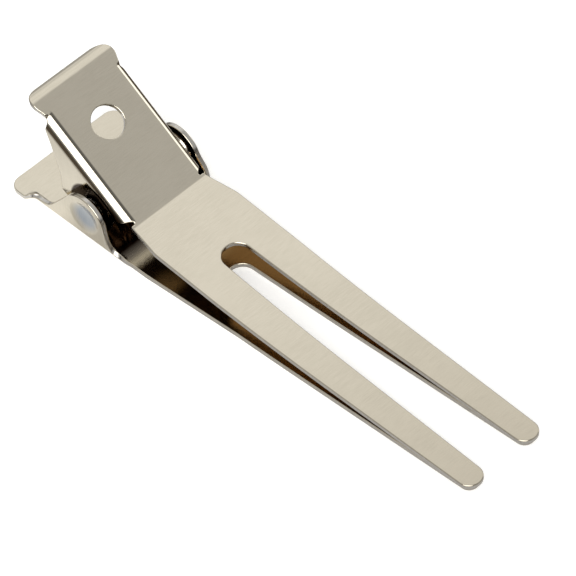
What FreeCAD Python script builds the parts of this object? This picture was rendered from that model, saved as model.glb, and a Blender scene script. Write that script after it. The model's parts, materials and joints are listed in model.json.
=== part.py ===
import FreeCAD, Part
import math
import os

os.makedirs("parts", exist_ok=True)
V = FreeCAD.Vector

# ---------------------------------------------------------------- frame
# Millimetres. X runs from the tail to the prong tips, Z is up, and Y = 0
# is the plane of symmetry. The origin is on the underside of the lower
# jaw, at the middle of the overall length.

# ---------------------------------------------------------------- shared
T = 0.40                 # sheet thickness of both jaws
LENGTH = 45.2            # tail edge to prong tips
TIP_X = LENGTH / 2       # prong tips
TAIL_X = -LENGTH / 2     # rear edge of the lower jaw
KNEE_X = 3.0             # both jaws bow gently upwards about here
KNEE_R = 200.0           # radius of that bow
CLOSED_GAP = 0.015       # air left between the closed tips
CONVERGE_R = 30.0        # where both jaws' outer edges start to converge
BEYOND = 1.0             # how far cutting shapes run past what they cut
CUT_HALF = 7.0           # half width of the blocks that the sheets are cut from
CUT_HIGH = 14.0          # height of those blocks
SIDE_IN = 0.5            # side cuts run from here out to SIDE_OUT, along Y
SIDE_OUT = 6.0
STRIP_DEEP = 8.0         # depth of a folded side before it is trimmed
OVERLAP = 0.2            # how far a folded side runs into its flat sheet
SLACK = 0.01             # keeps an arc from using up a whole straight edge

# ---------------------------------------------------------------- pivot
PIVOT_X = -14.8
PIVOT_Z = 2.15
BOSS_R = 1.0             # pivot stub pressed out of the lower ear
HOLE_R = 1.04            # hole in the upper ear that runs on it
BOSS_PROUD = 0.3         # how far the stub passes the upper ear
BOSS_CHAMFER = 0.12

# ---------------------------------------------------------------- upper jaw
BEND_X = -11.0           # where the thumb tab bends up from the jaw plate
BEND_Z = 2.88            # height of the upper face at that bend
BEND_R = 0.8             # radius of the upper face at the bend
TAB_DEG = 34.6           # rise of the thumb tab
TAB_FLAT = 10.85         # tab length before the tip starts to curl
CURL_R = 1.4             # outer radius of the curled tip
CURL_DEG = 58.0          # how far the tip curls over
LIP = 0.3                # straight lip past the curl
TIP_HALF = 3.92          # half width of the flared tab tip
TIP_CORNER = 1.25
FLARE_R = 0.8            # round of the edge where the flare ends
FLANGE_Y = 3.92          # outer face of the folded side flanges
FOLD_R = 0.9             # outer radius of the fold
FOLD_REAR = 9.45         # where the fold starts, measured down the tab
FOLD_FRONT = 0.3         # where it stops, just short of the bend
WAIST = 0.3              # from the fold's end to the waist behind it
WAIST_HALF = 3.62        # half width of the tab there
WAIST_R = 0.25
FLARE = 1.4              # from the fold's end to the flare's full width
LIP_REAR = 0.95          # depth of the flange at its rear end
LIP_REAR_R = 0.25
LIP_DEEP = 1.75          # its depth where it drops into the ear
LIP_DROP = 8.35          # distance down the tab where it starts to drop
LIP_DROP_R = 0.9
FRONT_DEEP = 1.35        # depth of the flange at its front end
FRONT_RAKE = 0.4         # how far its front edge slopes back by there
FRONT_R = 0.3
EAR_HEEL = 3.35          # rear edge of the upper ear, behind the pivot
HEEL_TOP = 1.5           # that edge starts this far above the pivot
HEEL_TOP_R = 0.9
EAR_HEEL_DROP = 0.1      # how far the heel sits below the pivot
HEEL_R = 0.4
EAR_SOLE = 1.5           # bottom of the upper ear, below the pivot
EAR_TOE = 0.6            # from the pivot back to where the sole levels out
EAR_TOE_R = 1.5
EAR_FRONT_X = 1.3        # from the pivot to the front end of the sole
EAR_FRONT_R = 1.0
TAB_HOLE_D = 7.15        # distance up the tab to the round hole
TAB_HOLE_R = 1.3
KNEE_Z = 1.68            # upper face of the jaw plate at the knee
TIP_Z = 1.15             # and at the prong tips

# ---------------------------------------------------------------- prongs
NECK_HALF = 3.6          # half width right in front of the bend
NECK_START = 0.05        # the neck begins this far behind the bend
NECK_START_R = 0.2
NECK_REACH = 1.2         # how far in front of the bend the neck ends
NECK_FLARE = 0.22        # how much it has widened by there
NECK_R = 1.5
SHOULDER_HALF = 4.12     # half width of the jaw plate at its shoulders
SHOULDER_REACH = 2.8     # the shoulders start this far in front of the bend
SHOULDER_R = 2.0
PRONG_REACH = 9.0        # and the outer edges start to converge here
PRONG_OUT = 3.75         # outer edge of a prong at the tip
PRONG_IN = 1.78          # inner edge of a prong at the tip
SLOT_ROOT_X = -4.0       # centre of the round root of the slot
SLOT_ROOT_R = 1.15

# ---------------------------------------------------------------- lower jaw
TAIL_HALF = 5.3          # half width of the tail
TAIL_CORNER = 1.0
TAIL_STEP = 0.1          # how much narrower the tail is where the lips start
TAIL_STEP_R = 0.35
EAR_Y = 4.9              # outer face of the ears
EAR_FOLD_R = 0.55        # outer radius of their fold
EAR_REAR = -20.65        # where the side lips start
EAR_FRONT = -11.65       # where they stop
EAR_LIP = 0.7            # height of the low side lips
LIP_START = 0.6          # their height at the rear end
LIP_START_R = 0.3
LIP_RISE_R = 1.6         # hollow where a lip rises into its ear
EAR_TOP_R = 2.0          # round top of an ear, about the pivot
EAR_BACK_DEG = 140.0     # direction in which its straight rear edge faces
EAR_FACE_DEG = 22.0      # direction in which its straight front edge faces
EAR_FOOT = 0.3           # height of the foot in front of the ear
EAR_FOOT_R = 0.4
EAR_FOOT_END = 0.2       # its height at the front end
DISH_R = 1.45            # mouth of the pressed dimple
DISH_DEPTH = 0.4
BULGE_R = 1.2            # the dimple's back, where the stub leaves it
BULGE_FOOT_R = 1.5       # and where it leaves the ear
BULGE_GAP = 0.06         # air between it and the upper ear
BULGE_WELD = 0.05        # how far it runs into the ear's sheet
LOWER_FRONT = 4.65       # half width of the lower jaw in front of the ears
LOWER_STEP = 0.05        # it reaches that width this far past the ears
LOWER_STEP_R = 0.1
LOWER_REACH = 2.2        # it keeps that width this far past the bend
LOWER_FRONT_R = 3.0
TAPER_HALF = 4.15        # half width further on, where the prongs begin
TAPER_REACH = 11.0       # distance of that place from the bend
LOWER_TRIM = 0.25        # how much narrower the lower prongs are per side
LOWER_ROOT_X = -3.75     # centre of the round root of the lower slot
LOWER_ROOT_R = 1.05
LOWER_SHORT = 0.25       # how much shorter the lower prongs are

# ---------------------------------------------------------------- spring
WIRE = 0.5
COIL_R = 1.25            # mean radius of the coil
COIL_HALF = 2.4          # half length of the coil along Y, at wire centre
COIL_TURNS = 5
LEG = 4.4                # length of each leg
SPRING_GAP = 0.03        # air between a leg's end and the sheet it bears on
POINTS_PER_TURN = 28
POINTS_PER_LEG = 8

TAB = math.radians(TAB_DEG)
SLOPE = math.atan2(BEND_Z - KNEE_Z, KNEE_X - BEND_X)
TIP_SLOPE = math.atan2(KNEE_Z - TIP_Z, TIP_X - KNEE_X)
LOWER_RISE = math.atan2(TIP_Z - 2 * T - CLOSED_GAP, TIP_X - KNEE_X)
HALF_ROOT2 = math.sqrt(0.5)


def tab_point(d, n=0.0):
    """Point d up the thumb tab and n above its upper face, as (x, z)."""
    x = BEND_X - d * math.cos(TAB) + n * math.sin(TAB)
    z = BEND_Z + d * math.sin(TAB) + n * math.cos(TAB)
    return x, z


# ================================================================ outlines
def corner(before, here, after, r):
    """Start, middle and end of the arc that rounds one corner."""
    ax, ay = before[0] - here[0], before[1] - here[1]
    bx, by = after[0] - here[0], after[1] - here[1]
    la, lb = math.hypot(ax, ay), math.hypot(bx, by)
    ax, ay, bx, by = ax / la, ay / la, bx / lb, by / lb
    half = math.acos(max(-1.0, min(1.0, ax * bx + ay * by))) / 2
    cut = r / math.tan(half)
    reach = r / math.sin(half) - r
    length = math.hypot(ax + bx, ay + by)
    mx, my = (ax + bx) / length, (ay + by) / length
    start = (here[0] + ax * cut, here[1] + ay * cut)
    middle = (here[0] + mx * reach, here[1] + my * reach)
    end = (here[0] + bx * cut, here[1] + by * cut)
    return start, middle, end


def rounded_wire(points, to3d):
    """Closed wire through (u, v) or (u, v, radius) corners."""
    arcs = []
    for i, p in enumerate(points):
        if len(p) > 2:
            after = points[(i + 1) % len(points)]
            arcs.append(corner(points[i - 1], p, after, p[2]))
        else:
            arcs.append((p, None, p))
    edges = []
    for i, (start, middle, end) in enumerate(arcs):
        if middle is not None:
            arc = Part.Arc(to3d(*start[:2]), to3d(*middle), to3d(*end[:2]))
            edges.append(arc.toShape())
        p = to3d(*end[:2])
        q = to3d(*arcs[(i + 1) % len(arcs)][0][:2])
        if (q - p).Length > 1e-6:
            edges.append(Part.LineSegment(p, q).toShape())
    return Part.Wire(edges)


def plan_prism(points, z0, z1):
    """Solid with a plan outline, between two heights."""
    wire = rounded_wire(points, lambda x, y: V(x, y, z0))
    return Part.Face(wire).extrude(V(0, 0, z1 - z0))


def side_prism(points, y0, y1):
    """Solid with a side outline, between two Y positions."""
    wire = rounded_wire(points, lambda x, z: V(x, y0, z))
    return Part.Face(wire).extrude(V(0, y1 - y0, 0))


def mirrored(half):
    """Close an outline given for +Y by adding its mirror image."""
    back = [(p[0], -p[1]) + tuple(p[2:]) for p in reversed(half)]
    return half + back


def both_sides(shape):
    return [shape, shape.mirror(V(0, 0, 0), V(0, 1, 0))]


def folded_strip(at, flat, radius, deep, run):
    """Sheet that turns through a right angle: at(y, depth) places it."""
    inner = radius - T
    top = flat + radius
    low = flat + inner
    r, i = radius, inner
    k = HALF_ROOT2
    overlap = flat - OVERLAP
    edges = [
        Part.LineSegment(at(overlap, 0), at(flat, 0)).toShape(),
        Part.Arc(at(flat, 0), at(flat + r * k, r - r * k), at(top, r)).toShape(),
        Part.LineSegment(at(top, r), at(top, deep)).toShape(),
        Part.LineSegment(at(top, deep), at(low, deep)).toShape(),
        Part.LineSegment(at(low, deep), at(low, r)).toShape(),
        Part.Arc(at(low, r), at(flat + i * k, r - i * k), at(flat, T)).toShape(),
        Part.LineSegment(at(flat, T), at(overlap, T)).toShape(),
        Part.LineSegment(at(overlap, T), at(overlap, 0)).toShape(),
    ]
    return Part.Face(Part.Wire(edges)).extrude(run)


def prong(tip_x, out, inner, root_x, root):
    """Outline of one +Y prong, from its outer edge to the slot's root."""
    r = (out - inner) / 2 - SLACK
    return [
        (tip_x, out, r),
        (tip_x, inner, r),
        (root_x - root, root, root - SLACK),
    ]


# ================================================================ upper jaw
def curl_point(deg, r):
    """Point on the curled tip, deg past the end of the flat tab."""
    cx, cz = tab_point(TAB_FLAT, -CURL_R)
    a = math.pi / 2 - TAB + math.radians(deg)
    return cx + r * math.cos(a), cz + r * math.sin(a)


def lip_end(r):
    """End of the straight lip, on the outer or the inner face."""
    x, z = curl_point(CURL_DEG, r)
    a = math.pi - TAB + math.radians(CURL_DEG)
    return x + LIP * math.cos(a), z + LIP * math.sin(a)


def upper_profile():
    """Side profile of the jaw plate, the tab and its curled tip."""
    lean = (TAB + SLOPE) / 2
    drop = T / math.cos((TAB - SLOPE) / 2)
    low_x = BEND_X - drop * math.sin(lean)
    low_z = BEND_Z - drop * math.cos(lean)
    knee = (SLOPE + TIP_SLOPE) / 2
    curled = [
        Part.Arc(*[V(x, 0, z) for x, z in (
            tab_point(TAB_FLAT), curl_point(CURL_DEG / 2, CURL_R),
            curl_point(CURL_DEG, CURL_R))]).toShape(),
        Part.LineSegment(*[V(x, 0, z) for x, z in (
            curl_point(CURL_DEG, CURL_R), lip_end(CURL_R))]).toShape(),
        Part.LineSegment(*[V(x, 0, z) for x, z in (
            lip_end(CURL_R), lip_end(CURL_R - T))]).toShape(),
        Part.LineSegment(*[V(x, 0, z) for x, z in (
            lip_end(CURL_R - T), curl_point(CURL_DEG, CURL_R - T))]).toShape(),
        Part.Arc(*[V(x, 0, z) for x, z in (
            curl_point(CURL_DEG, CURL_R - T),
            curl_point(CURL_DEG / 2, CURL_R - T),
            tab_point(TAB_FLAT, -T))]).toShape(),
        Part.LineSegment(*[V(x, 0, z) for x, z in (
            tab_point(TAB_FLAT, -T), tab_point(TAB_FLAT))]).toShape(),
    ]
    plate = rounded_wire([
        tab_point(TAB_FLAT),
        (BEND_X, BEND_Z, BEND_R),
        (KNEE_X, KNEE_Z, KNEE_R),
        (TIP_X, TIP_Z),
        (TIP_X, TIP_Z - T / math.cos(TIP_SLOPE)),
        (KNEE_X - T * math.sin(knee), KNEE_Z - T * math.cos(knee), KNEE_R + T),
        (low_x, low_z, BEND_R + T),
        tab_point(TAB_FLAT, -T),
    ], lambda x, z: V(x, 0, z))
    return Part.Face(plate), Part.Face(Part.Wire(curled))


def upper_plan():
    """Plan outline of the tab, shoulders and prongs."""
    flat = FLANGE_Y - FOLD_R
    half = [
        (lip_end(CURL_R)[0] - SLACK, TIP_HALF, TIP_CORNER),
        (tab_point(FOLD_REAR + FLARE)[0], TIP_HALF, FLARE_R),
        (tab_point(FOLD_REAR + WAIST)[0], WAIST_HALF, WAIST_R),
        (tab_point(FOLD_REAR)[0], flat),
        (tab_point(FOLD_FRONT)[0], flat),
        (BEND_X - NECK_START, NECK_HALF, NECK_START_R),
        (BEND_X + NECK_REACH, NECK_HALF + NECK_FLARE, NECK_R),
        (BEND_X + SHOULDER_REACH, SHOULDER_HALF, SHOULDER_R),
        (BEND_X + PRONG_REACH, SHOULDER_HALF, CONVERGE_R),
    ]
    return mirrored(half + prong(TIP_X, PRONG_OUT, PRONG_IN,
                                 SLOT_ROOT_X, SLOT_ROOT_R))


def flange_side():
    """Side outline kept of a folded flange, in X and Z."""
    px, pz = PIVOT_X, PIVOT_Z
    heel = px - EAR_HEEL
    return [
        tab_point(FOLD_REAR, BEYOND),
        tab_point(FOLD_REAR, -LIP_REAR) + (LIP_REAR_R,),
        tab_point(LIP_DROP, -LIP_DEEP) + (LIP_DROP_R,),
        (heel, pz + HEEL_TOP, HEEL_TOP_R),
        (heel, pz - EAR_HEEL_DROP, HEEL_R),
        (px - EAR_TOE, pz - EAR_SOLE, EAR_TOE_R),
        (px + EAR_FRONT_X, pz - EAR_SOLE, EAR_FRONT_R),
        tab_point(FOLD_FRONT + FRONT_RAKE, -FRONT_DEEP) + (FRONT_R,),
        tab_point(FOLD_FRONT, BEYOND),
    ]


def upper_flange():
    """Fold and vertical flange on the +Y side."""
    run = V(-math.cos(TAB), 0, math.sin(TAB)) * (FOLD_REAR + 2 * BEYOND)

    def at(y, depth):
        x, z = tab_point(-BEYOND, -depth)
        return V(x, y, z)

    strip = folded_strip(at, FLANGE_Y - FOLD_R, FOLD_R, STRIP_DEEP, run)
    return strip.common(side_prism(flange_side(), SIDE_IN, SIDE_OUT))


def make_upper():
    plate, curled = upper_profile()
    sheet = None
    for face in (plate, curled):
        face.translate(V(0, -CUT_HALF, 0))
        solid = face.extrude(V(0, 2 * CUT_HALF, 0))
        sheet = solid if sheet is None else sheet.fuse(solid)
    body = sheet.common(plan_prism(upper_plan(), -BEYOND, CUT_HIGH))
    for side in both_sides(upper_flange()):
        body = body.fuse(side)
    x, z = tab_point(TAB_HOLE_D, -BEYOND)
    along = V(math.sin(TAB), 0, math.cos(TAB))
    body = body.cut(Part.makeCylinder(TAB_HOLE_R, 2 * BEYOND, V(x, 0, z), along))
    start = V(PIVOT_X, -SIDE_OUT, PIVOT_Z)
    axle = Part.makeCylinder(HOLE_R, 2 * SIDE_OUT, start, V(0, 1, 0))
    return body.cut(axle).removeSplitter()


# ================================================================ lower jaw
def lower_plan():
    flat = EAR_Y - EAR_FOLD_R
    half = [
        (TAIL_X, TAIL_HALF, TAIL_CORNER),
        (EAR_REAR - TAIL_STEP, TAIL_HALF - TAIL_STEP, TAIL_STEP_R),
        (EAR_REAR, flat),
        (EAR_FRONT, flat),
        (EAR_FRONT + LOWER_STEP, LOWER_FRONT, LOWER_STEP_R),
        (BEND_X + LOWER_REACH, LOWER_FRONT, LOWER_FRONT_R),
        (BEND_X + TAPER_REACH, TAPER_HALF, CONVERGE_R),
    ]
    return mirrored(half + prong(TIP_X - LOWER_SHORT, PRONG_OUT - LOWER_TRIM,
                                 PRONG_IN + LOWER_TRIM,
                                 LOWER_ROOT_X, LOWER_ROOT_R))


def tangent(deg_a, deg_b):
    """Corner where two tangents of the ear's round top meet."""
    mid = math.radians((deg_a + deg_b) / 2)
    reach = EAR_TOP_R / math.cos(math.radians(deg_a - deg_b) / 2)
    return PIVOT_X + reach * math.cos(mid), PIVOT_Z + reach * math.sin(mid)


def tangent_at(deg, z):
    """X at height z on the tangent of the round top at deg."""
    a = math.radians(deg)
    return PIVOT_X + (EAR_TOP_R - (z - PIVOT_Z) * math.sin(a)) / math.cos(a)


def ear_side():
    """Side outline of a lip and ear, in X and Z."""
    rear, top, front = EAR_BACK_DEG, 90.0, EAR_FACE_DEG
    arc = EAR_TOP_R - 1e-4
    return [
        (EAR_REAR, -BEYOND),
        (EAR_REAR, LIP_START, LIP_START_R),
        (tangent_at(rear, EAR_LIP), EAR_LIP, LIP_RISE_R),
        tangent(rear, top) + (arc,),
        tangent(top, front) + (arc,),
        (tangent_at(front, EAR_FOOT), EAR_FOOT, EAR_FOOT_R),
        (EAR_FRONT, EAR_FOOT_END),
        (EAR_FRONT, -BEYOND),
    ]


def lower_ear():
    """Fold, ear, dimple and pivot stub on the +Y side."""
    def at(y, height):
        return V(EAR_REAR - BEYOND, y, height)

    run = V(EAR_FRONT - EAR_REAR + 2 * BEYOND, 0, 0)
    strip = folded_strip(at, EAR_Y - EAR_FOLD_R, EAR_FOLD_R, STRIP_DEEP, run)
    ear = strip.common(side_prism(ear_side(), SIDE_IN, SIDE_OUT))
    # the dimple bulges inwards, and its stub runs in the upper ear's hole
    axis = V(0, 1, 0)
    inner = EAR_Y - T
    bulge_y = FLANGE_Y + BULGE_GAP
    stub_y = FLANGE_Y - T - BOSS_PROUD
    bulge = Part.makeCone(BULGE_R, BULGE_FOOT_R, inner - bulge_y + BULGE_WELD,
                          V(PIVOT_X, bulge_y, PIVOT_Z), axis)
    stub = Part.makeCylinder(BOSS_R, inner - stub_y,
                             V(PIVOT_X, stub_y, PIVOT_Z), axis)
    end = [e for e in stub.Edges
           if e.BoundBox.YMax < stub_y + 1e-6 and e.BoundBox.XLength > BOSS_R]
    ear = ear.fuse(bulge).fuse(stub.makeChamfer(BOSS_CHAMFER, end))
    ball = (DISH_R ** 2 + DISH_DEPTH ** 2) / (2 * DISH_DEPTH)
    centre = V(PIVOT_X, EAR_Y - DISH_DEPTH + ball, PIVOT_Z)
    return ear.cut(Part.makeSphere(ball, centre))


def lower_sheet():
    """Sheet of the lower jaw: flat, then rising gently from the knee."""
    end = TIP_X + BEYOND
    rise = (end - KNEE_X) * math.tan(LOWER_RISE)
    knee = LOWER_RISE / 2
    return side_prism([
        (TAIL_X - BEYOND, 0),
        (KNEE_X, 0, KNEE_R),
        (end, rise),
        (end, rise + T / math.cos(LOWER_RISE)),
        (KNEE_X - T * math.tan(knee), T, KNEE_R - T),
        (TAIL_X - BEYOND, T),
    ], -CUT_HALF, CUT_HALF)


def make_lower():
    body = lower_sheet().common(plan_prism(lower_plan(), -BEYOND, 2 * BEYOND))
    for side in both_sides(lower_ear()):
        body = body.fuse(side)
    return body.removeSplitter()


# ================================================================ spring
def coil_point(a, y):
    """Point on the coil's centre line at angle a from +X towards +Z."""
    x = PIVOT_X + COIL_R * math.cos(a)
    z = PIVOT_Z + COIL_R * math.sin(a)
    return V(x, y, z)


def spring_points():
    """Centre line: the tail leg, the coil, then the leg under the tab."""
    # each leg leaves the coil so that its end bears on its sheet
    tail_reach = PIVOT_Z - T - WIRE / 2 - SPRING_GAP
    start = math.pi * 1.5 - math.asin((tail_reach - COIL_R) / LEG)
    tab_reach = ((BEND_X - PIVOT_X) * math.sin(TAB)
                 + (BEND_Z - PIVOT_Z) * math.cos(TAB)
                 - T - WIRE / 2 - SPRING_GAP)
    leave = math.pi / 2 - TAB - math.asin((tab_reach - COIL_R) / LEG)
    to_tail = V(math.sin(start), 0, -math.cos(start))
    to_tab = V(-math.sin(leave), 0, math.cos(leave))
    sweep = 2 * math.pi * COIL_TURNS + (leave - start) % (2 * math.pi)
    points = []
    for i in range(POINTS_PER_LEG):
        f = 1 - i / POINTS_PER_LEG
        points.append(coil_point(start, COIL_HALF) + to_tail * (LEG * f))
    count = POINTS_PER_TURN * COIL_TURNS
    for i in range(count + 1):
        f = i / count
        y = COIL_HALF * (1 - 2 * f)
        points.append(coil_point(start + sweep * f, y))
    for i in range(1, POINTS_PER_LEG + 1):
        f = i / POINTS_PER_LEG
        points.append(coil_point(leave, -COIL_HALF) + to_tab * (LEG * f))
    return points


def make_spring():
    curve = Part.BSplineCurve()
    curve.interpolate(spring_points())
    start = curve.FirstParameter
    circle = Part.makeCircle(WIRE / 2, curve.value(start), curve.tangent(start)[0])
    path = Part.Wire(curve.toShape())
    return path.makePipeShell([Part.Wire(circle)], True, False)


nodes = {
    "upper_jaw": make_upper(),
    "lower_jaw": make_lower(),
    "torsion_spring": make_spring(),
}

for name, shape in nodes.items():
    shape.exportStep("parts/" + name + ".step")
    box = shape.BoundBox
    print(name, shape.isValid(), len(shape.Solids), round(shape.Volume, 2),
          round(box.XLength, 2), round(box.YLength, 2), round(box.ZLength, 2))
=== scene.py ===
import bmesh
import bpy
import json
import math
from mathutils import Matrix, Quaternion, Vector
from mathutils.geometry import delaunay_2d_cdt


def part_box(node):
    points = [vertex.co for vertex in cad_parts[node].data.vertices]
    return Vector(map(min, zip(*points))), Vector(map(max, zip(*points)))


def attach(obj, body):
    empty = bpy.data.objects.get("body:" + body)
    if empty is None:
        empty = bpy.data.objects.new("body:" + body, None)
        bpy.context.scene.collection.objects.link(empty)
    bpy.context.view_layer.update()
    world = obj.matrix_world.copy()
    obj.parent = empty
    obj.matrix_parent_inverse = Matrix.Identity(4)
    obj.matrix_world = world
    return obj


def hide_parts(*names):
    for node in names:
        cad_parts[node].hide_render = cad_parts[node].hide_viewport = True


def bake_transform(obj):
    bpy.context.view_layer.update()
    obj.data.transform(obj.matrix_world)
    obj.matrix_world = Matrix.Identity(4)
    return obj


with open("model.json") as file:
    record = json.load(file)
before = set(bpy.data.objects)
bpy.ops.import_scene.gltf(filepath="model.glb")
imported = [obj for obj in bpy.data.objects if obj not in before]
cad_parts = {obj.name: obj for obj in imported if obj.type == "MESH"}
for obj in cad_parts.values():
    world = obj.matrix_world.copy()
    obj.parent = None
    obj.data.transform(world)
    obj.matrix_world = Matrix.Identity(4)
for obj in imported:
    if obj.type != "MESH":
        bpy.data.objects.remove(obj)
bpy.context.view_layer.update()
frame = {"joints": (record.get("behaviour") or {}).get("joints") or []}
scene = bpy.context.scene
MM = 0.001
PIVOT_X, PIVOT_Z = (frame["joints"][0]["pos_m"][i] / MM for i in (0, 2))

# ================================================================ finish and painted shade
# Colours come in pairs, for the light and the dark streaks of one finish.
BRIGHT = ((0.705, 0.655, 0.55), (0.66, 0.612, 0.51))
# Next pair: a duller colour towards the prong tips, and a painted shade tone on the upper
# inner face.
DIMMER = ((0.58, 0.53, 0.435), (0.54, 0.495, 0.405))
# Next pair: near-black painted shade, for the joint by the ear and the inner faces by the
# coil.
PAINTED_SHADE = ((0.035, 0.017, 0.007), (0.025, 0.011, 0.004))
# Next pair: painted brown shade and reflection for the inner faces towards the prongs.
SHADED_BROWN = ((0.55, 0.442, 0.30), (0.49, 0.385, 0.253))
# Next pair: painted bluish shade in the middle of the ear dimple.
DIMPLE_BLUE_SHADE = ((0.46, 0.50, 0.55), (0.42, 0.46, 0.51))
BARE = ((0.62, 0.60, 0.57), (0.52, 0.50, 0.47))
DRAWN = ((0.66, 0.63, 0.58), (0.55, 0.52, 0.48))

# Noise scales, per metre along X, Y and Z.
CLOUD = (450, 450, 450)
STREAK = (14000, 900, 900)
SPECK = (9000, 9000, 9000)
STREAK_SHARE = 0.6       # the rest of the pattern is cloud
SPECK_SHARE = 0.3        # height of the specks beside the streaks
BUMP_MM = 0.02           # depth of the grain
TONE_RANGE = (0.36, 0.6)    # pattern values that give the dark and light colour
ROUGH_RANGE = (0.3, 0.7)    # and those that give the two roughnesses

# Where a finish or a painted shade starts and where it is full, in millimetres.
# Painted bluish shade in the dimple, by distance from the pivot axis:
DIMPLE_SHADE = (1.35, 0.75)         # distance from the pivot axis
# The next four lines place the painted shade on the flange by the ear.
ROUND_EAR = (2.42, 2.26)       # distance from the pivot axis
ON_FLANGE = (3.74, 3.86)       # distance from the middle plane
FLANGE_FRONT = (-14.4, -13.8)  # the rest are places along X
FLANGE_END = (-11.3, -11.6)
# Painted near-black shade on the inner faces, full from the second place forward.
COIL_SHADE = (-17.5, -15.5)
# Duller colour towards the prong tips:
TIPS_DIMMER = (-2.0, 22.0)
# Where the upper inner face turns from painted near-black shade to a dimmer painted shade
# tone, then to painted brown shade.
UPPER_DIMMER, UPPER_SHADED_BROWN = (-13.4, -12.4), (-11.4, -10.4)
# Where the lower inner face turns from painted near-black shade back to its bright colour,
# then to painted brown shade.
LOWER_SHADE_END, LOWER_SHADED_BROWN = (-11.7, -10.9), (-9.4, -8.6)


# ================================================================ materials
def node(tree, kind, **values):
    made = tree.nodes.new(kind)
    for key, value in values.items():
        setattr(made, key, value)
    return made


def noise(tree, at, scale, detail=3.0, rough=0.55):
    made = node(tree, "ShaderNodeTexNoise")
    mapping = node(tree, "ShaderNodeMapping")
    mapping.inputs["Scale"].default_value = scale
    tree.links.new(at, mapping.inputs["Vector"])
    tree.links.new(mapping.outputs["Vector"], made.inputs["Vector"])
    made.inputs["Scale"].default_value = 1.0
    made.inputs["Detail"].default_value = detail
    made.inputs["Roughness"].default_value = rough
    return made.outputs["Fac"]


def span(tree, value, low, high, to_low, to_high):
    made = node(tree, "ShaderNodeMapRange")
    made.inputs["From Min"].default_value = low
    made.inputs["From Max"].default_value = high
    made.inputs["To Min"].default_value = to_low
    made.inputs["To Max"].default_value = to_high
    tree.links.new(value, made.inputs["Value"])
    return made.outputs["Result"]


def math_node(tree, operation, a, b):
    made = node(tree, "ShaderNodeMath", operation=operation)
    for socket, value in zip(made.inputs, (a, b)):
        if isinstance(value, (int, float)):
            socket.default_value = value
        else:
            tree.links.new(value, socket)
    return made.outputs[0]


def blended(tree, factor, a, b):
    made = node(tree, "ShaderNodeMix", data_type="RGBA")
    sockets = [i for i in made.inputs if i.type == "RGBA"]
    tree.links.new(factor, made.inputs["Factor"])
    for socket, value in zip(sockets, (a, b)):
        if isinstance(value, tuple):
            socket.default_value = value
        else:
            tree.links.new(value, socket)
    return [o for o in made.outputs if o.type == "RGBA"][0]


def nickel(name, pair, rough, grain, layers=()):
    """Satin nickel plate: cloudy colour, cross-wise brushed grain.

    rough is the roughness of the dark and the light streaks. A layer is a
    function that gives its factor, and its own pair of colours.
    """
    mat = bpy.data.materials.new(name)
    mat.use_nodes = True
    tree = mat.node_tree
    shader = tree.nodes["Principled BSDF"]
    shader.inputs["Metallic"].default_value = 1.0
    at = node(tree, "ShaderNodeTexCoord").outputs["Object"]
    cloud = noise(tree, at, CLOUD, 4.0)
    streak = noise(tree, at, STREAK, 2.0)
    speck = noise(tree, at, SPECK, 2.0)
    mixed = math_node(tree, "ADD", math_node(tree, "MULTIPLY", streak, STREAK_SHARE),
                      math_node(tree, "MULTIPLY", cloud, 1 - STREAK_SHARE))
    clouded = span(tree, mixed, *TONE_RANGE, 0, 1)
    colour = blended(tree, clouded, (*pair[1], 1), (*pair[0], 1))
    for where, other in layers:
        second = blended(tree, clouded, (*other[1], 1), (*other[0], 1))
        colour = blended(tree, where(tree, at), colour, second)
    tree.links.new(colour, shader.inputs["Base Color"])
    tree.links.new(span(tree, mixed, *ROUGH_RANGE, *rough), shader.inputs["Roughness"])
    bump = node(tree, "ShaderNodeBump")
    bump.inputs["Strength"].default_value = grain
    bump.inputs["Distance"].default_value = BUMP_MM * MM
    height = math_node(tree, "ADD", streak, math_node(tree, "MULTIPLY", speck, SPECK_SHARE))
    tree.links.new(height, bump.inputs["Height"])
    tree.links.new(bump.outputs["Normal"], shader.inputs["Normal"])
    return mat


def part_of(tree, at, axis):
    split = node(tree, "ShaderNodeSeparateXYZ")
    tree.links.new(at, split.inputs[0])
    return split.outputs[axis]


def from_x(start, end):
    """Layer that fades in between two places along the clip."""
    def where(tree, at):
        return span(tree, part_of(tree, at, "X"), start * MM, end * MM, 0, 1)

    return where


def off_pivot(tree, at):
    """Distance from the pivot axis."""
    across = math_node(tree, "SUBTRACT", part_of(tree, at, "X"), PIVOT_X * MM)
    above = math_node(tree, "SUBTRACT", part_of(tree, at, "Z"), PIVOT_Z * MM)
    return math_node(tree, "SQRT", math_node(
        tree, "ADD", math_node(tree, "POWER", across, 2.0),
        math_node(tree, "POWER", above, 2.0)), 0)


def faded(tree, value, ends):
    """Factor that is 0 at the first of two millimetre values, 1 at the other."""
    return span(tree, value, ends[0] * MM, ends[1] * MM, 0, 1)


def shade_in_dimple(tree, at):
    """Painted bluish shade in the dimple, round the pivot axis."""
    return faded(tree, off_pivot(tree, at), DIMPLE_SHADE)


def shade_by_the_ear(tree, at):
    """Painted shade on the flange, inside the ear and in front of it."""
    out = math_node(tree, "ABSOLUTE", part_of(tree, at, "Y"), 0)
    side = faded(tree, out, ON_FLANGE)
    near = faded(tree, off_pivot(tree, at), ROUND_EAR)
    front = from_x(*FLANGE_FRONT)(tree, at)
    band = math_node(tree, "MULTIPLY", side, math_node(tree, "MAXIMUM", near, front))
    return math_node(tree, "MULTIPLY", band, from_x(*FLANGE_END)(tree, at))


PLATE_ROUGH, RECESS_ROUGH, PLATE_GRAIN = (0.07, 0.13), (0.08, 0.15), 0.07
# Painted shade, near black, on the inner faces from the coil forward.
shade_at_coil = (from_x(*COIL_SHADE), PAINTED_SHADE)
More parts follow.
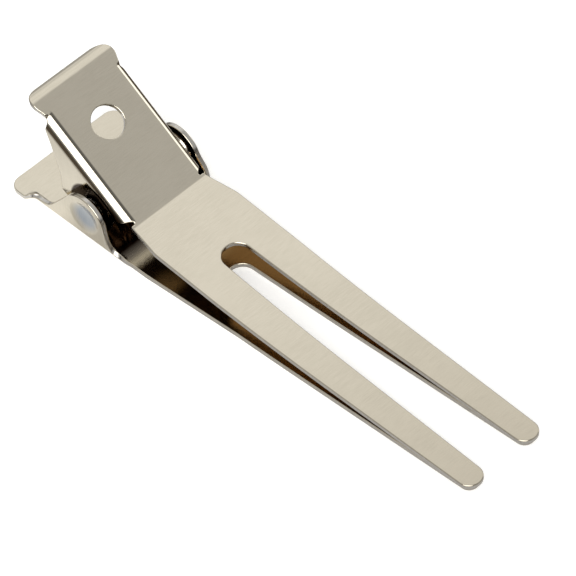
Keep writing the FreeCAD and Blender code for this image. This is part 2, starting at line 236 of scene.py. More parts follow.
# Upper outer face: duller colour towards the prong tips, and painted shade by the ear.
upper_plate = nickel("upper_nickel", BRIGHT, PLATE_ROUGH, PLATE_GRAIN,
                     ((from_x(*TIPS_DIMMER), DIMMER), (shade_by_the_ear, PAINTED_SHADE)))
# Lower outer face: painted bluish shade in the dimple.
lower_plate = nickel("lower_nickel", BRIGHT, PLATE_ROUGH, PLATE_GRAIN,
                     ((shade_in_dimple, DIMPLE_BLUE_SHADE),))
# Upper inner face: painted near-black shade, then a dimmer painted shade tone, then painted
# brown shade from the bend forward.
upper_recess = nickel("upper_recess", BRIGHT, RECESS_ROUGH, PLATE_GRAIN,
                      (shade_at_coil, (from_x(*UPPER_DIMMER), DIMMER),
                       (from_x(*UPPER_SHADED_BROWN), SHADED_BROWN)))
# Lower inner face: painted near-black shade, then a bright strip, then painted brown shade
# towards the prongs.
lower_recess = nickel("lower_recess", BRIGHT, RECESS_ROUGH, PLATE_GRAIN,
                      (shade_at_coil, (from_x(*LOWER_SHADE_END), BRIGHT),
                       (from_x(*LOWER_SHADED_BROWN), SHADED_BROWN)))
cut_edge = nickel("cut_edge", BARE, (0.16, 0.26), 0.2)
wire = nickel("spring_wire", DRAWN, (0.08, 0.16), 0.1)

# ================================================================ dimensions
# Millimetres, in the frame of the CAD model.
T = 0.40                 # sheet thickness
TAIL_X, LOWER_TIP_X = (end.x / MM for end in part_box("lower_jaw"))
TIP_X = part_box("upper_jaw")[1].x / MM

# mesh
EDGE_R = 0.085           # rounding of the cut edges
EDGE_STEPS = (0, 30, 60, 90)
ARC_STEP = math.radians(9)
LONGEST = 0.9            # longest step along an outline
GRID = 0.85              # spacing of the points inside a face
ROW = 0.866              # spacing of its rows, as a share of that
GRID_EDGE = 0.6          # nearest that a point comes to an edge, likewise
AROUND = 48              # points round a hole or a dimple
SLACK = 0.01             # small margin between arcs, points and cuts
TIGHT_STEP = 0.12        # between the cuts in a tight curve
BY_BEND, BY_CURL, BY_FOLD = 0.6, 0.3, 0.2    # last cut in the flat beside each

# side view of both jaws
BEND_X, BEND_Z, BEND_R = -11.0, 2.88, 0.8
TAB = math.radians(34.6)
KNEE_X, KNEE_Z, TIP_Z, KNEE_R = 3.0, 1.68, 1.15, 200.0
CLOSED_GAP = 0.015
SLOPE = math.atan2(BEND_Z - KNEE_Z, KNEE_X - BEND_X)
TIP_SLOPE = math.atan2(KNEE_Z - TIP_Z, TIP_X - KNEE_X)
LOWER_RISE = math.atan2(TIP_Z - 2 * T - CLOSED_GAP, TIP_X - KNEE_X)
TAB_FLAT, CURL_R, CURL, LIP = 10.85, 1.4, math.radians(58), 0.3
TAB_END = TAB_FLAT + CURL_R * CURL + LIP

# upper jaw: tab, fold and flange
TIP_HALF, TIP_CORNER = 3.92, 1.3
FLANGE_Y, FOLD_R, FOLD_REAR, FOLD_FRONT = 3.92, 0.9, 9.45, 0.3
FADE = 0.8               # the fold opens out behind its rear end
FLARE, FLARE_R = 1.5, 1.1
WAIST, WAIST_HALF, WAIST_R = 0.35, 3.5, 0.6
LIP_SET, LIP_REAR, LIP_REAR_R = 0.02, 0.95, 0.3
LIP_DROP, LIP_DEEP, LIP_DROP_R = 8.35, 1.75, 0.9
EAR_HEEL, HEEL_TOP, HEEL_TOP_R = 3.35, 1.5, 0.9
EAR_HEEL_DROP, HEEL_R = 0.1, 0.4
EAR_SOLE, EAR_TOE, EAR_TOE_R = 1.5, 0.6, 1.5
EAR_FRONT_X, EAR_FRONT_R = 1.3, 1.0
FRONT_SET, FRONT_DEEP, FRONT_R = 0.95, 1.35, 0.3
# Corners of the fold's front end: how far back, how far out, radius.
FOLD_END = ((0.36, 0.92, 0.4), (0.16, 0.42, 0.15))
RELIEF, RELIEF_DEEP = 0.16, 0.22    # slit between the fold and the bend
TAB_HOLE_D, TAB_HOLE_R, PIVOT_HOLE_R = 7.15, 1.3, 1.04

# prongs
CONVERGE_R = 30.0        # where both jaws' outer edges start to converge
NECK_HALF, NECK_START_R = 3.6, 0.12
NECK_REACH, NECK_FLARE, NECK_R = 1.2, 0.22, 1.5
SHOULDER_HALF, SHOULDER_REACH, SHOULDER_R = 4.12, 2.8, 2.0
PRONG_REACH = 9.0
PRONG_OUT, PRONG_IN, SLOT_X, SLOT_R = 3.75, 1.78, -4.0, 1.15

# lower jaw
TAIL_HALF, TAIL_CORNER, TAIL_STEP_R = 5.3, 1.0, 0.25
EAR_Y, EAR_FOLD_R, EAR_REAR, EAR_FRONT = 4.9, 0.55, -20.65, -11.65
EAR_LIP, LIP_RISE_R = 0.7, 1.6
EAR_TOP_R, EAR_TOP_SLACK = 2.0, 1e-4
EAR_BACK_DEG, EAR_FACE_DEG = 140.0, 22.0
EAR_FOOT, EAR_FOOT_R = 0.3, 1.0
EAR_FADE = 1.3           # the ear's foot opens out over twice this length
LIP_START, LIP_FADE = 0.3, 1.5      # where the lip starts, how long it opens out
LIP_IN, LIP_LOW, LIP_START_R = 0.1, 0.42, 0.25
LOWER_FRONT, LOWER_STEP_R, LOWER_TRIM = 4.65, 0.9, 0.25
LOWER_REACH, LOWER_FRONT_R = 2.2, 3.0
TAPER_HALF, TAPER_REACH = 4.15, 11.0
LOWER_SLOT_X, LOWER_SLOT_R = -3.75, 1.05
BOSS_R, BOSS_PROUD = 1.0, 0.3
STUB_Y = FLANGE_Y - T - BOSS_PROUD
DENT_R, DENT_DEG = 1.45, 27.0

# spring
WIRE, COIL_R, COIL_HALF, COIL_TURNS, LEG = 0.5, 1.25, 2.4, 5, 4.4
SPRING_GAP = 0.03
LEG_STEPS, TURN_STEPS = 12, 44


# ================================================================ outlines
def unit(a):
    size = math.hypot(*a)
    return a[0] / size, a[1] / size


def rounded(corners):
    """Points of a closed outline; a third number rounds that corner."""
    out = []
    for i, c in enumerate(corners):
        if len(c) < 3:
            out.append(tuple(c))
            continue
        before, after = corners[i - 1], corners[(i + 1) % len(corners)]
        a = unit((before[0] - c[0], before[1] - c[1]))
        b = unit((after[0] - c[0], after[1] - c[1]))
        half = math.acos(max(-1.0, min(1.0, a[0] * b[0] + a[1] * b[1]))) / 2
        middle = unit((a[0] + b[0], a[1] + b[1]))
        far = c[2] / math.sin(half)
        centre = (c[0] + middle[0] * far, c[1] + middle[1] * far)
        cut = c[2] / math.tan(half)
        p = (c[0] + a[0] * cut, c[1] + a[1] * cut)
        start = math.atan2(p[1] - centre[1], p[0] - centre[0])
        turn = math.pi - 2 * half
        if a[0] * b[1] - a[1] * b[0] > 0:
            turn = -turn
        count = max(2, math.ceil(abs(turn) / ARC_STEP))
        for k in range(count + 1):
            angle = start + turn * k / count
            out.append((centre[0] + c[2] * math.cos(angle),
                        centre[1] + c[2] * math.sin(angle)))
    return out


def stepped(points):
    """The same outline with no long steps and no doubled points."""
    out = []
    for p, q in zip(points, points[1:] + points[:1]):
        length = math.dist(p, q)
        if length < SLACK:
            continue
        count = math.ceil(length / LONGEST)
        for k in range(count):
            f = k / count
            out.append((p[0] + (q[0] - p[0]) * f, p[1] + (q[1] - p[1]) * f))
    return out


def circle(x, y, r):
    angles = [-2 * math.pi * k / AROUND for k in range(AROUND)]
    return [(x + r * math.cos(a), y + r * math.sin(a)) for a in angles]


def area(loop):
    return sum(p[0] * q[1] - q[0] * p[1]
               for p, q in zip(loop, loop[1:] + loop[:1])) / 2


def inset(loop, amount):
    """Loop moved to its left, which is the side with metal."""
    out = []
    for i, c in enumerate(loop):
        before, after = loop[i - 1], loop[(i + 1) % len(loop)]
        a = unit((c[0] - before[0], c[1] - before[1]))
        b = unit((after[0] - c[0], after[1] - c[1]))
        n = (-a[1] - b[1], a[0] + b[0])
        size = n[0] * n[0] + n[1] * n[1]
        k = 2 * amount / max(size, 0.5)
        out.append((c[0] + n[0] * k, c[1] + n[1] * k))
    return out


def within(p, loop):
    inside = False
    for a, b in zip(loop, loop[1:] + loop[:1]):
        if (a[1] > p[1]) != (b[1] > p[1]):
            if p[0] < a[0] + (b[0] - a[0]) * (p[1] - a[1]) / (b[1] - a[1]):
                inside = not inside
    return inside


def clear_of(p, loops, gap):
    return all(math.dist(p, q) > gap for loop in loops for q in loop)


# ================================================================ blanks
def blank(outline, holes, dishes=()):
    """Flat sheet as a closed bmesh: u, w, depth. Dishes stay open."""
    bm = bmesh.new()
    facing = bm.verts.layers.float_vector.new("facing")
    loops = [stepped(outline)] + [list(h) for h in holes]
    if area(loops[0]) < 0:
        loops[0].reverse()
    face_loops = [inset(loop, EDGE_R) for loop in loops] + [list(d) for d in dishes]
    flat = [p for loop in face_loops for p in loop]
    edges, start = [], 0
    for loop in face_loops:
        count = len(loop)
        edges += [(start + k, start + (k + 1) % count) for k in range(count)]
        start += count
    xs = [p[0] for p in face_loops[0]]
    ys = [p[1] for p in face_loops[0]]
    row, y = 0, min(ys)
    while y < max(ys):
        x = min(xs) + (GRID / 2 if row % 2 else 0)
        while x < max(xs):
            p = (x, y)
            if within(p, face_loops[0]) and clear_of(p, face_loops, GRID * GRID_EDGE):
                if not any(within(p, loop) for loop in face_loops[1:]):
                    flat.append(p)
            x += GRID
        y += GRID * ROW
        row += 1
    cut = delaunay_2d_cdt([Vector(p) for p in flat], edges, [], 0, 1e-7)
    points, triangles = cut[0], cut[2]
    sides = []
    for depth, way in ((0.0, -1), (T, 1)):
        sides.append([bm.verts.new((p.x, p.y, depth)) for p in points])
        for v in sides[-1]:
            v[facing] = (0, 0, way)
    for tri in triangles:
        centre = sum((points[i] for i in tri), Vector((0, 0))) / 3
        if not within(centre, face_loops[0]):
            continue
        if any(within(centre, loop) for loop in face_loops[1:]):
            continue
        bm.faces.new([sides[0][i] for i in tri])
        back = bm.faces.new([sides[1][i] for i in reversed(tri)])
        back.material_index = 2
    for loop in loops:
        rings = []
        outward = [unit((p[0] - q[0], p[1] - q[1]))
                   for p, q in zip(loop, inset(loop, EDGE_R))]
        for depth0, sign in ((0.0, 1), (T, -1)):
            for deg in EDGE_STEPS if sign > 0 else reversed(EDGE_STEPS):
                a = math.radians(deg)
                moved = inset(loop, EDGE_R * (1 - math.sin(a)))
                depth = depth0 + sign * EDGE_R * (1 - math.cos(a))
                rings.append([bm.verts.new((*p, depth)) for p in moved])
                for v, out in zip(rings[-1], outward):
                    v[facing] = (out[0] * math.sin(a), out[1] * math.sin(a),
                                 -sign * math.cos(a))
        count = len(loop)
        for k, (a, b) in enumerate(zip(rings, rings[1:])):
            for i in range(count):
                j = (i + 1) % count
                face = bm.faces.new((a[j], a[i], b[i], b[j]))
                face.material_index = int(k == len(EDGE_STEPS) - 1)
    return bm


def slice_at(bm, axis, values, keep=lambda c: True):
    """Cuts the faces whose centre passes keep, at each value on an axis."""
    normal = [(1, 0, 0), (0, 1, 0)][axis]
    for value in values:
        place = [0.0, 0.0, 0.0]
        place[axis] = value
        faces = [f for f in bm.faces if keep(f.calc_center_median())]
        edges = {e for f in faces for e in f.edges}
        verts = {v for f in faces for v in f.verts}
        bmesh.ops.bisect_plane(bm, geom=[*verts, *edges, *faces], dist=1e-6,
                               plane_co=place, plane_no=normal)


def turned(fold, at, n, reach=1e-3):
    """Normal n of the blank at a point, as the fold turns it."""
    columns = []
    for k in range(3):
        ends = []
        for sign in (1, -1):
            moved = list(at)
            moved[k] += sign * reach
            ends.append(fold(*moved))
        columns.append(Vector([p - q for p, q in zip(*ends)]) / reach)
    u, w, d = columns
    out = n[0] * w.cross(d) + n[1] * d.cross(u) + n[2] * u.cross(w)
    return out.normalized() * math.copysign(1, u.dot(w.cross(d)))


def finish_piece(bm, name, fold, cad_node, materials, body):
    """Folds the blank, and makes it a piece of the object."""
    facing = bm.verts.layers.float_vector["facing"]
    for v in bm.verts:
        if v[facing].length > 0:
            v[facing] = turned(fold, tuple(v.co), v[facing])
        v.co = Vector(fold(*v.co)) * MM
    bmesh.ops.remove_doubles(bm, verts=bm.verts, dist=1e-7)
    bmesh.ops.recalc_face_normals(bm, faces=bm.faces)
    for f in bm.faces:
        f.smooth = True
    mesh = bpy.data.meshes.new(name)
    bm.to_mesh(mesh)
    bm.free()
    piece = bpy.data.objects.new(name, mesh)
    scene.collection.objects.link(piece)
    for material in materials:
        mesh.materials.append(material)
    normals = [tuple(v.vector) for v in mesh.attributes["facing"].data]
    mesh.attributes.remove(mesh.attributes["facing"])
    mesh.normals_split_custom_set_from_vertices(normals)
    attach(piece, body)
    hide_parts(cad_node)
    return piece


def both(half):
    """Close an outline given for +Y by adding its mirror image."""
    return half + [(p[0], -p[1]) + tuple(p[2:]) for p in reversed(half)]


def prong(tip_x, out, inner, root_x, root):
    """Outline of one prong, from its outer edge to the slot's root."""
    r = (out - inner) / 2 - SLACK
    return [(tip_x, out, r), (tip_x, inner, r),
            (root_x - root, root, root - SLACK)]


def steps(start, end, most):
    """Values from start to end, no more than most apart."""
    count = math.ceil(abs(end - start) / most)
    return [start + (end - start) * k / count for k in range(count + 1)]


# ================================================================ upper jaw
FLAT = FLANGE_Y - FOLD_R                  # half width of the flat of the tab
FOLD_EXTRA = FOLD_R * (math.pi / 2 - 1)   # length that the fold adds to a flange
BEND_HALF = (TAB - SLOPE) / 2
BEND_CUT = BEND_R * math.tan(BEND_HALF)
KNEE_S = (KNEE_X - BEND_X) / math.cos(SLOPE)


def along(x):
    """Distance in front of the bend, measured on the sheet."""
    if x <= KNEE_X:
        return (x - BEND_X) / math.cos(SLOPE)
    return KNEE_S + (x - KNEE_X) / math.cos(TIP_SLOPE)


def bow(x, z, knee, turn):
    """Level sheet bent upwards by turn, in a wide arc about the knee."""
    start = knee - KNEE_R * math.tan(turn / 2)
    a = min(max(x - start, 0) / KNEE_R, turn)
    past = max(0, x - start - KNEE_R * turn)
    r = KNEE_R - z
    return (min(x, start) + r * math.sin(a) + past * math.cos(a),
            KNEE_R - r * math.cos(a) + past * math.sin(a))


def tab_blank(x, z):
    """Blank position of a point of the folded flange, given in side view."""
    dx, dz = x - BEND_X, z - BEND_Z
    d = dz * math.sin(TAB) - dx * math.cos(TAB)
    n = dx * math.sin(TAB) + dz * math.cos(TAB)
    return -d, FLAT + FOLD_EXTRA - n


def profile(s, depth):
    """Side profile of the upper jaw: s along its top, depth into it."""
    if s >= BEND_CUT:
        s, up = bow(s, -depth, KNEE_S, SLOPE - TIP_SLOPE)
        return (BEND_X + s * math.cos(SLOPE) + up * math.sin(SLOPE),
                BEND_Z - s * math.sin(SLOPE) + up * math.cos(SLOPE))
    if s > -BEND_CUT:
        f = (BEND_CUT - s) / (2 * BEND_CUT)
        x0 = BEND_X + BEND_CUT * math.cos(SLOPE) + BEND_R * math.sin(SLOPE)
        z0 = BEND_Z - BEND_CUT * math.sin(SLOPE) + BEND_R * math.cos(SLOPE)
        a = -math.pi / 2 - SLOPE - f * 2 * BEND_HALF
        r = BEND_R + depth
        return x0 + r * math.cos(a), z0 + r * math.sin(a)
    d = -s
    flat = min(d, TAB_FLAT)
    x = BEND_X - flat * math.cos(TAB)
    z = BEND_Z + flat * math.sin(TAB)
    if d <= TAB_FLAT:
        return x - depth * math.sin(TAB), z - depth * math.cos(TAB)
    x -= CURL_R * math.sin(TAB)
    z -= CURL_R * math.cos(TAB)
    turn = min((d - TAB_FLAT) / CURL_R, CURL)
    a = math.pi / 2 - TAB + turn
    x += (CURL_R - depth) * math.cos(a)
    z += (CURL_R - depth) * math.sin(a)
    rest = d - TAB_FLAT - CURL_R * CURL
    if rest > 0:
        x -= rest * math.sin(a)
        z += rest * math.cos(a)
    return x, z


def smooth(f):
    f = max(0.0, min(1.0, f))
    return f * f * (3 - 2 * f)


def fold_across(w, depth, flat, radius, limit):
    """Position across, and depth below the flat face, past a side fold."""
    size, side = abs(w), math.copysign(1, w)
    if size <= flat:
        return w, depth
    turn = min((size - flat) / radius, limit)
    past = max(0.0, size - flat - radius * limit)
    r = radius - depth
    y = flat + r * math.sin(turn) + past * math.cos(limit)
    down = radius - r * math.cos(turn) + past * math.sin(limit)
    return side * y, down


def fold_upper(u, w, depth):
    y = w
    if u < -FOLD_FRONT + RELIEF / 2:
        limit = math.pi / 2 * smooth((u + FOLD_REAR + FADE) / FADE)
        y, depth = fold_across(w, depth, FLAT, FOLD_R, limit)
    x, z = profile(u, depth)
    return x, y, z


def upper_outline():
    """Blank of the upper jaw: tab, fold, flange, relief slit, prong."""
    heel = PIVOT_X - EAR_HEEL
    sole = PIVOT_Z - EAR_SOLE
    flange = FLAT + FOLD_EXTRA
    slit = FLAT + RELIEF_DEEP
    slit_r = RELIEF / 2 - SLACK
    half = [
        (-TAB_END, TIP_HALF, TIP_CORNER),
        (-FOLD_REAR - FLARE, TIP_HALF, FLARE_R),
        (-FOLD_REAR - WAIST, WAIST_HALF, WAIST_R),
        (-FOLD_REAR + LIP_SET, flange + LIP_REAR, LIP_REAR_R),
        (-LIP_DROP, flange + LIP_DEEP, LIP_DROP_R),
        tab_blank(heel, PIVOT_Z + HEEL_TOP) + (HEEL_TOP_R,),
        tab_blank(heel, PIVOT_Z - EAR_HEEL_DROP) + (HEEL_R,),
        tab_blank(PIVOT_X - EAR_TOE, sole) + (EAR_TOE_R,),
        tab_blank(PIVOT_X + EAR_FRONT_X, sole) + (EAR_FRONT_R,),
        (-FOLD_FRONT - FRONT_SET, flange + FRONT_DEEP, FRONT_R),
        *[(-FOLD_FRONT - back, FLAT + out, r) for back, out, r in FOLD_END],
        (-FOLD_FRONT, slit, slit_r),
        (-FOLD_FRONT + RELIEF, slit, slit_r),
        (-FOLD_FRONT + RELIEF, NECK_HALF, NECK_START_R),
        (along(BEND_X + NECK_REACH), NECK_HALF + NECK_FLARE, NECK_R),
        (along(BEND_X + SHOULDER_REACH), SHOULDER_HALF, SHOULDER_R),
        (along(BEND_X + PRONG_REACH), SHOULDER_HALF, CONVERGE_R),
    ]
    tips = [(along(p[0]),) + p[1:]
            for p in prong(TIP_X, PRONG_OUT, PRONG_IN, SLOT_X, SLOT_R)]
    return rounded(both(half + tips))


def make_upper(materials):
    pivot_u, pivot_w = tab_blank(PIVOT_X, PIVOT_Z)
    holes = [circle(-TAB_HOLE_D, 0, TAB_HOLE_R),
             circle(pivot_u, pivot_w, PIVOT_HOLE_R),
             circle(pivot_u, -pivot_w, PIVOT_HOLE_R)]
    bm = blank(upper_outline(), holes)
    # Across the blank, where the bend, the curl and the fold's end turn it.
    curl_end = -TAB_FLAT - CURL_R * CURL
    slice_at(bm, 0, steps(-BEND_CUT, BEND_CUT, BEND_CUT / 3) + [-BY_BEND, BY_BEND])
    slice_at(bm, 0, [-TAB_FLAT + BY_CURL] + steps(-TAB_FLAT, curl_end, TIGHT_STEP))
    slice_at(bm, 0, steps(-FOLD_REAR - FADE, -FOLD_REAR, FADE / 7))
    # Along it, where the side folds turn it.
    end = FLAT + FOLD_R * math.pi / 2
    ways = [FLAT - BY_FOLD] + steps(FLAT, end, FOLD_R * math.pi / 22)
    slice_at(bm, 1, ways + [-w for w in ways],
             lambda c: -FOLD_REAR - FADE - SLACK < c.x < -FOLD_FRONT + SLACK)
    return finish_piece(bm, "upper_plate", fold_upper, "upper_jaw", materials, "upper")


# ================================================================ lower jaw
LOWER_FLAT = EAR_Y - EAR_FOLD_R
EAR_ARC = EAR_FOLD_R * math.pi / 2


def dent():
    """Rings of the dimple: a rounded rim, then part of a ball."""
    ball = DENT_R / math.sin(math.radians(DENT_DEG))
    rim = math.sqrt(ball ** 2 - DENT_R ** 2)
    rings = [(DENT_R + 0.04, 0.0), (DENT_R + 0.01, 0.008)]
    for share in (0.97, 0.92, 0.84, 0.72, 0.56, 0.38, 0.2):
        r = DENT_R * share
        rings.append((r, math.sqrt(ball ** 2 - r ** 2) - rim))
    return rings, ball - rim


DENT, DENT_DEEP = dent()
# Rings of the dimple's back and of the stub on it: radius, height.
BULGE = ((DENT_R + 0.04, 0.0), (DENT_R, 0.03), (1.39, 0.16), (1.32, 0.34), (1.22, 0.46),
         (1.10, 0.50), (BOSS_R, 0.51))
STUB_TALL = EAR_Y - T - STUB_Y
STUB = ((BOSS_R, STUB_TALL - 0.12), (0.96, STUB_TALL - 0.04), (0.88, STUB_TALL),
        (0.5, STUB_TALL))


def ear_blank(x, z):
    """Blank position of a point of the folded ear, given in side view."""
    return x, LOWER_FLAT + EAR_ARC + z - EAR_FOLD_R


def fold_lower(u, w, depth):
    rear = smooth((u - EAR_REAR + LIP_START) / LIP_FADE)
    front = smooth((EAR_FRONT + EAR_FADE - u) / (2 * EAR_FADE))
    limit = math.pi / 2 * rear * front
    w, depth = fold_across(w, depth, LOWER_FLAT, EAR_FOLD_R, limit)
    x, z = bow(u, depth, KNEE_X, LOWER_RISE)
    return x, w, z


def tangents(deg_a, deg_b):
    """Corner where two tangents of the ear's round top meet."""
    mid = math.radians((deg_a + deg_b) / 2)
    reach = EAR_TOP_R / math.cos(math.radians(deg_a - deg_b) / 2)
    return PIVOT_X + reach * math.cos(mid), PIVOT_Z + reach * math.sin(mid)


def tangent_x(deg, z):
    """X at height z on the tangent of the round top at deg."""
    a = math.radians(deg)
    return PIVOT_X + (EAR_TOP_R - (z - PIVOT_Z) * math.sin(a)) / math.cos(a)


def dish(bm, x, w):
    """Closes the open circle of an ear with its dent, bulge and stub."""
    for base, sign, shape, middle in (
            (0.0, 1, DENT, DENT_DEEP), (T, 1, BULGE + STUB, STUB_TALL)):
        rings = []
        for r, depth in shape:
            rings.append([bm.verts.new((*p, base + sign * depth))
                          for p in circle(x, w, r)])
        centre = bm.verts.new((x, w, base + sign * middle))
        for a, b in zip(rings, rings[1:]):
            for i in range(AROUND):
                j = (i + 1) % AROUND
                bm.faces.new((a[i], a[j], b[j], b[i]))
        for i in range(AROUND):
            bm.faces.new((rings[-1][i], rings[-1][(i + 1) % AROUND], centre))


def lower_outline():
    """Blank of the lower jaw: tail, side lip, ear, prong."""
    rear, top, front = EAR_BACK_DEG, 90.0, EAR_FACE_DEG
    arc = EAR_TOP_R - EAR_TOP_SLACK
    side = [
        (tangent_x(rear, EAR_LIP), EAR_LIP, LIP_RISE_R),
        tangents(rear, top) + (arc,),
        tangents(top, front) + (arc,),
        (tangent_x(front, EAR_FOOT), EAR_FOOT, EAR_FOOT_R),
    ]
    ear = [ear_blank(*p[:2]) + tuple(p[2:]) for p in side]
    half = [
        (TAIL_X, TAIL_HALF, TAIL_CORNER),
        (EAR_REAR - LIP_START, TAIL_HALF, TAIL_STEP_R),
        ear_blank(EAR_REAR + LIP_IN, LIP_LOW) + (LIP_START_R,),
        *ear,
        (EAR_FRONT + EAR_FADE, LOWER_FRONT, LOWER_STEP_R),
        (BEND_X + LOWER_REACH, LOWER_FRONT, LOWER_FRONT_R),
        (BEND_X + TAPER_REACH, TAPER_HALF, CONVERGE_R),
    ]
    tips = prong(LOWER_TIP_X, PRONG_OUT - LOWER_TRIM, PRONG_IN + LOWER_TRIM,
                 LOWER_SLOT_X, LOWER_SLOT_R)
    return rounded(both(half + tips))


def make_lower(materials):
    centres = [(PIVOT_X, side * ear_blank(0, PIVOT_Z)[1]) for side in (1, -1)]
    bm = blank(lower_outline(), [], [circle(x, w, DENT[0][0]) for x, w in centres])
    for x, w in centres:
        dish(bm, x, w)
    bmesh.ops.remove_doubles(bm, verts=bm.verts, dist=1e-5)
    # Across the blank, where the lip and the ear open out.
    lip = EAR_REAR - LIP_START
    slice_at(bm, 0, steps(lip, lip + LIP_FADE, TIGHT_STEP))
    slice_at(bm, 0, steps(EAR_FRONT - EAR_FADE, EAR_FRONT + EAR_FADE, EAR_FADE / 8))
    # Along it, where their fold turns it.
    ways = [LOWER_FLAT - BY_FOLD] + steps(LOWER_FLAT, LOWER_FLAT + EAR_ARC, EAR_ARC / 10)
    slice_at(bm, 1, ways + [-w for w in ways],
             lambda c: lip - SLACK < c.x < EAR_FRONT + EAR_FADE + SLACK)
    return finish_piece(bm, "lower_plate", fold_lower, "lower_jaw", materials, "lower")


# ================================================================ spring
def spring_line():
    """Centre line of the spring: tail leg, coil, leg under the tab."""
    tail_reach = PIVOT_Z - T - WIRE / 2 - SPRING_GAP
    start = math.pi * 1.5 - math.asin((tail_reach - COIL_R) / LEG)
    tab_reach = ((BEND_X - PIVOT_X) * math.sin(TAB)
                 + (BEND_Z - PIVOT_Z) * math.cos(TAB) - T - WIRE / 2 - SPRING_GAP)
    leave = math.pi / 2 - TAB - math.asin((tab_reach - COIL_R) / LEG)
    turns = 2 * math.pi * COIL_TURNS + (leave - start) % (2 * math.pi)
    to_tail = (math.sin(start), -math.cos(start))
    to_tab = (-math.sin(leave), math.cos(leave))

    def at(a, y, way=(0, 0), out=0.0):
        return Vector((PIVOT_X + COIL_R * math.cos(a) + way[0] * out, y,
                       PIVOT_Z + COIL_R * math.sin(a) + way[1] * out))

    line = [at(start, COIL_HALF, to_tail, LEG * (1 - k / LEG_STEPS))
            for k in range(LEG_STEPS)]
    count = TURN_STEPS * COIL_TURNS
    line += [at(start + turns * k / count, COIL_HALF * (1 - 2 * k / count))
             for k in range(count + 1)]
    line += [at(leave, -COIL_HALF, to_tab, LEG * k / LEG_STEPS)
             for k in range(1, LEG_STEPS + 1)]
    return line


def make_spring(material, around=20):
    line = spring_line()
    bm = bmesh.new()
    rings = []
    across = Vector((0, 1, 0))
    # Places along the wire, each with the wire's direction and its share of
    # full thickness. Both ends are rounded off.
    spots = []
    first = (line[1] - line[0]).normalized()
    last = (line[-1] - line[-2]).normalized()
    end = ((0.72, 0.0), (0.92, 0.03), (1.0, 0.09))
    for r, out in end:
        spots.append((line[0] + first * out, first, r))
    for before, here, after in zip(line, line[1:], line[2:]):
        spots.append((here, (after - before).normalized(), 1.0))
    for r, out in reversed(end):
        spots.append((line[-1] - last * out, last, r))
    for place, way, r in spots:
        across = (across - way * across.dot(way)).normalized()
        other = way.cross(across)
        ring = []
        for k in range(around):
            a = 2 * math.pi * k / around
            offset = (across * math.cos(a) + other * math.sin(a)) * (WIRE / 2 * r)
            ring.append(bm.verts.new((place + offset) * MM))
        rings.append(ring)
    for a, b in zip(rings, rings[1:]):
        for i in range(around):
            j = (i + 1) % around
            bm.faces.new((a[i], a[j], b[j], b[i])).smooth = True
    bm.faces.new(rings[0][::-1])
    bm.faces.new(rings[-1])
    bmesh.ops.recalc_face_normals(bm, faces=bm.faces)
    mesh = bpy.data.meshes.new("spring_wire")
    bm.to_mesh(mesh)
    bm.free()
    mesh.materials.append(material)
    piece = bpy.data.objects.new("spring_coil", mesh)
    scene.collection.objects.link(piece)
    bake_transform(piece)
    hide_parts("torsion_spring")
    return piece


# Slots of a jaw: its outer face, its cut edges, its inner face.
make_upper([upper_plate, cut_edge, upper_recess])
make_lower([lower_plate, cut_edge, lower_recess])
make_spring(wire)

# ================================================================ stage
FLOOR = 6.0              # side of the floor, in metres
FLOOR_GLOW = 0.42        # lifts the floor to the photo's white
bpy.ops.mesh.primitive_plane_add(size=FLOOR, location=(0, 0, 0))
floor = bpy.context.object
floor.name = "floor"
floor_mat = bpy.data.materials.new("floor")
floor_mat.use_nodes = True
shader = floor_mat.node_tree.nodes["Principled BSDF"]
shader.inputs["Base Color"].default_value = (0.9, 0.9, 0.89, 1)
shader.inputs["Roughness"].default_value = 0.9
shader.inputs["Specular IOR Level"].default_value = 0.0
shader.inputs["Emission Color"].default_value = (1, 1, 1, 1)
shader.inputs["Emission Strength"].default_value = FLOOR_GLOW
floor.data.materials.append(floor_mat)

# ================================================================ light
world = bpy.data.worlds.new("studio")
scene.world = world
world.use_nodes = True
tree = world.node_tree
background = tree.nodes["Background"]
direction = node(tree, "ShaderNodeTexCoord").outputs["Generated"]


def glow(towards, inner, outer, amount):
    """Soft patch of sky: full within inner degrees, gone at outer."""
    dot = node(tree, "ShaderNodeVectorMath", operation="DOT_PRODUCT")
    tree.links.new(direction, dot.inputs[0])
    dot.inputs[1].default_value = Vector(towards).normalized()
    made = node(tree, "ShaderNodeMapRange", interpolation_type="SMOOTHSTEP")
    made.inputs["From Min"].default_value = math.cos(math.radians(outer))
    made.inputs["From Max"].default_value = math.cos(math.radians(inner))
    made.inputs["To Max"].default_value = amount
    tree.links.new(dot.outputs["Value"], made.inputs["Value"])
    return made.outputs["Result"]


def over(low, high, to_low, to_high):
    """Factor that rises with height above the horizon."""
    split = node(tree, "ShaderNodeSeparateXYZ")
    tree.links.new(direction, split.inputs[0])
    made = node(tree, "ShaderNodeMapRange", interpolation_type="SMOOTHSTEP")
    made.inputs["From Min"].default_value = low
    made.inputs["From Max"].default_value = high
    made.inputs["To Min"].default_value = to_low
    made.inputs["To Max"].default_value = to_high
    tree.links.new(split.outputs["Z"], made.inputs["Value"])
    return made.outputs["Result"]


# Each patch: where it lies, its inner and outer angle, what it adds.
UPPER_LEFT = ((-0.50, 0.47, 0.72), 14, 28, 0.40)
LOWER_LEFT = ((-0.90, 0.42, 0.10), 10, 24, 0.30)
DIM_AHEAD = ((0.546, 0.0, 0.838), 4, 26, -0.44)
MAIN_LIGHT = ((0.44, -0.66, 0.61), 27, 31, 3.0)
FAR_LIGHT = ((0.12, 0.96, 0.24), 8, 16, 1.3)
level = over(0.0, 0.30, 0.05, 0.58)
for patch in (UPPER_LEFT, LOWER_LEFT, DIM_AHEAD, MAIN_LIGHT, FAR_LIGHT):
    level = math_node(tree, "ADD", level, glow(*patch))
tree.links.new(level, background.inputs["Strength"])
background.inputs["Color"].default_value = (1.0, 0.99, 0.965, 1)

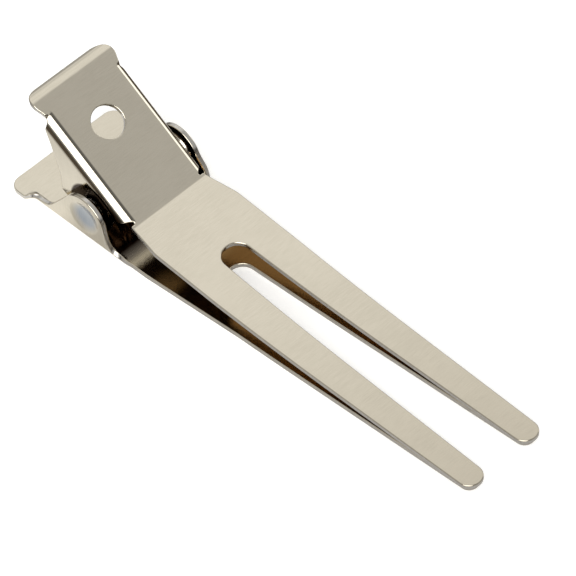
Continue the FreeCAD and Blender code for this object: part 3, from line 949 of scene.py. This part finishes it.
# A dark surround lies on the floor round the clip. Only gloss shows it.
NEAR, FAR = 6.0, 17.0              # clear within NEAR, dark beyond FAR
HALF_LONG = 18.0                   # half length of the place kept clear
BEHIND, BESIDE = -18.0, -15.0      # X range over which its clearness changes
CLEAR_BEHIND, CLEAR_BESIDE = 0.75, 0.43
SURROUND_Z = 0.05
bpy.ops.mesh.primitive_plane_add(size=FLOOR, location=(0, 0, SURROUND_Z * MM))
surround = bpy.context.object
surround.name = "surround"
dark = bpy.data.materials.new("surround")
dark.use_nodes = True
tree = dark.node_tree
tree.nodes.clear()
split = node(tree, "ShaderNodeSeparateXYZ")
tree.links.new(node(tree, "ShaderNodeTexCoord").outputs["Object"], split.inputs[0])
across = math_node(tree, "ABSOLUTE", split.outputs["Y"], 0)
ahead = math_node(tree, "ABSOLUTE", split.outputs["X"], 0)
beyond = math_node(tree, "SUBTRACT", ahead, HALF_LONG * MM)
away = math_node(tree, "MAXIMUM", across, beyond)
most = span(tree, split.outputs["X"], BEHIND * MM, BESIDE * MM, CLEAR_BEHIND, CLEAR_BESIDE)
clear = math_node(tree, "MULTIPLY", span(tree, away, NEAR * MM, FAR * MM, 1, 0), most)
shade = math_node(tree, "SUBTRACT", 1.0, clear)
mix = node(tree, "ShaderNodeMixShader")
black = node(tree, "ShaderNodeEmission")
black.inputs["Color"].default_value = (0.10, 0.08, 0.06, 1)
tree.links.new(shade, mix.inputs[0])
tree.links.new(node(tree, "ShaderNodeBsdfTransparent").outputs[0], mix.inputs[1])
tree.links.new(black.outputs[0], mix.inputs[2])
tree.links.new(mix.outputs[0], node(tree, "ShaderNodeOutputMaterial").inputs["Surface"])
surround.data.materials.append(dark)
for kind in ("camera", "diffuse", "shadow", "transmission", "volume_scatter"):
    setattr(surround, "visible_" + kind, False)

# ================================================================ camera
CAMERA = Vector((214.5, -187.1, 318.4)) * MM
AIM = Vector((0.8, 0.3, 2.2)) * MM
LENS = 375.5
ROLL = math.radians(-4.6)
data = bpy.data.cameras.new("camera")
data.lens = LENS
data.sensor_width = 36.0
data.clip_start = 0.01
data.clip_end = 20.0
camera = bpy.data.objects.new("camera", data)
scene.collection.objects.link(camera)
camera.location = CAMERA
camera.rotation_mode = "QUATERNION"
camera.rotation_quaternion = ((AIM - CAMERA).to_track_quat("-Z", "Y")
                              @ Quaternion((0, 0, 1), ROLL))
scene.camera = camera
scene.view_settings.view_transform = "Standard"
scene.cycles.max_bounces = 16
scene.cycles.glossy_bounces = 14
